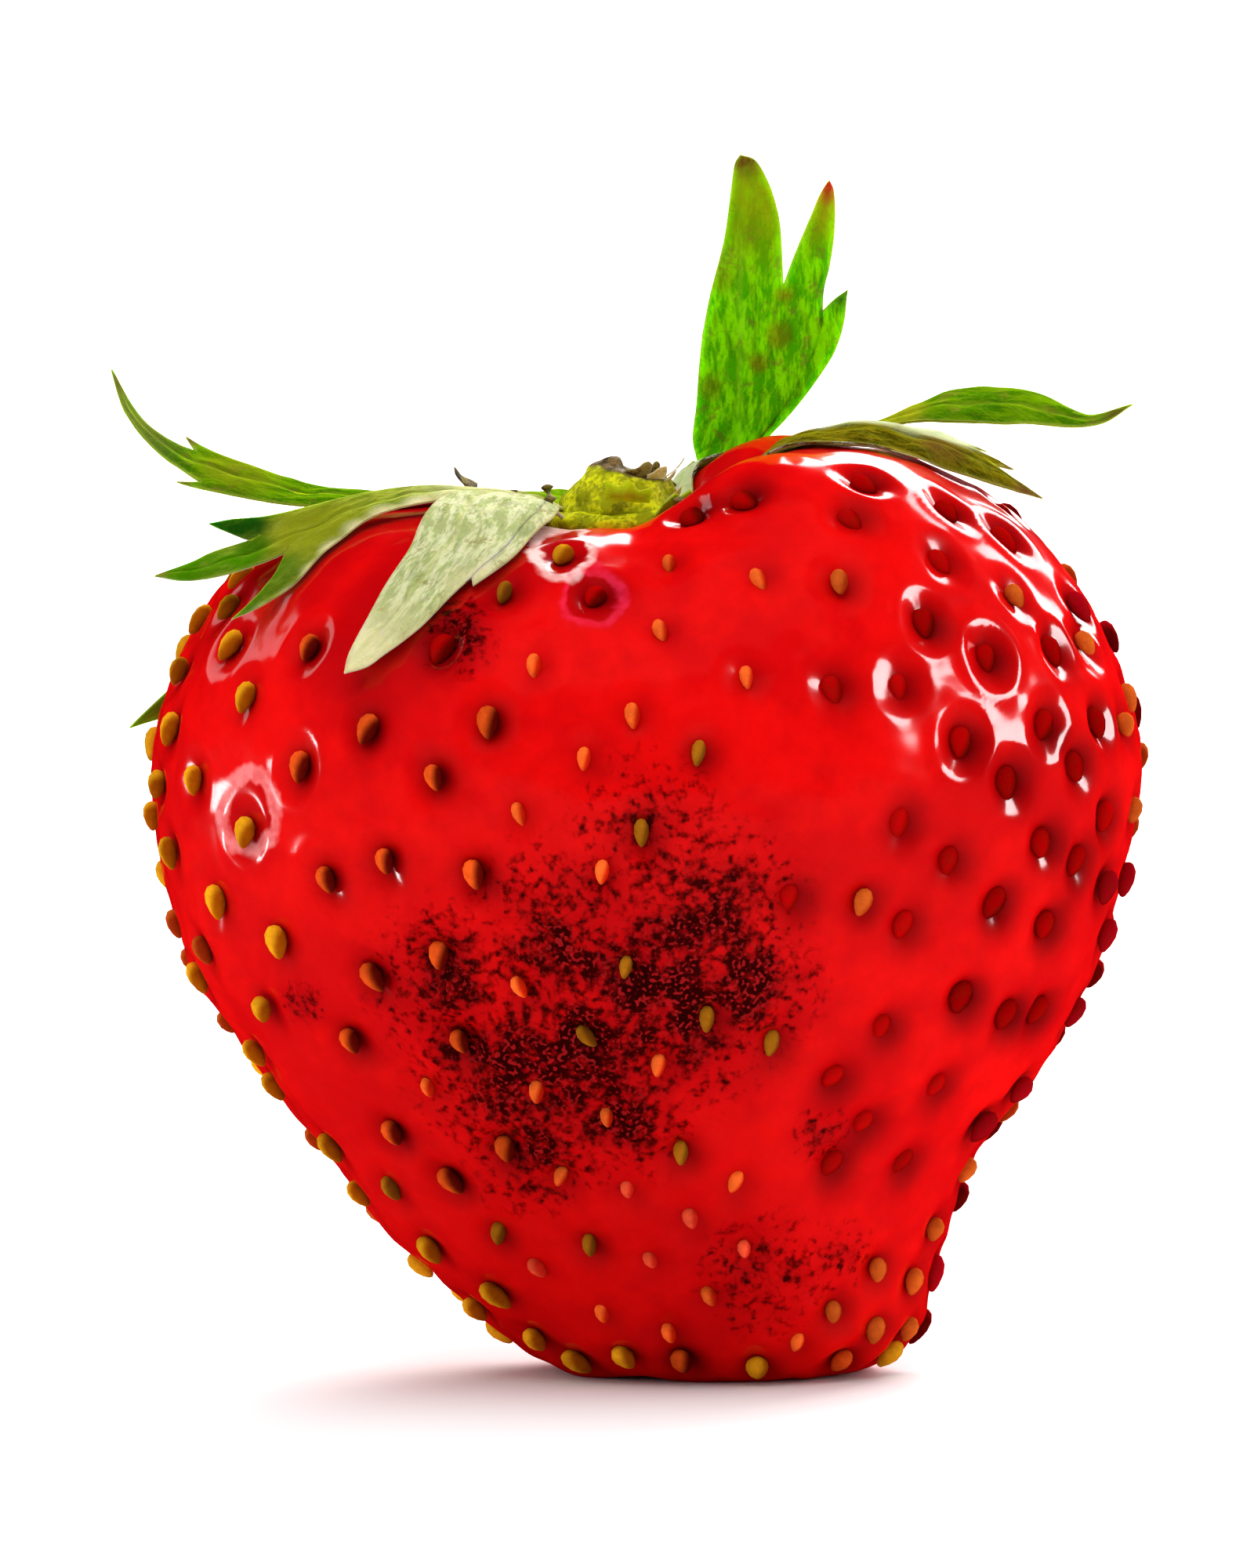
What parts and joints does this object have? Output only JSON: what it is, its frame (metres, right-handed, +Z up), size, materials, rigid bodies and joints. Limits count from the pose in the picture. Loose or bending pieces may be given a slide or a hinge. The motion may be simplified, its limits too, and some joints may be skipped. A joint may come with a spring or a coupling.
{
  "type": "strawberry",
  "caption": "Ripe heart-shaped strawberry with a leafy cap and a torn stalk stub, standing on its blunt tip.",
  "frame": {"origin": "centre of the flat spot at the fruit's blunt tip, on which it rests", "axes": "+Z up from the tip towards the stalk, +X to the right across the wide side, -Y to the front"},
  "size_m": [0.0394, 0.0297, 0.0462],
  "materials": {
    "flesh": null,
    "leaf": null,
    "stalk": null,
    "dry_parts": null
  },
  "bodies": {
    "root": {"fruit_body": "flesh", "sepal_right": "leaf", "sepal_back": "leaf", "sepal_left": "leaf", "sepal_front_left": "leaf", "sepal_front_torn": "leaf", "bractlet_upright": "leaf", "bractlet_back_left": "leaf", "bractlet_left": "leaf", "bractlet_front_torn": "leaf", "bractlet_right": "leaf", "stem_stub": "stalk", "stamen_01": "dry_parts", "stamen_02": "dry_parts", "stamen_03": "dry_parts", "stamen_04": "dry_parts"}
  },
  "joints": []
}
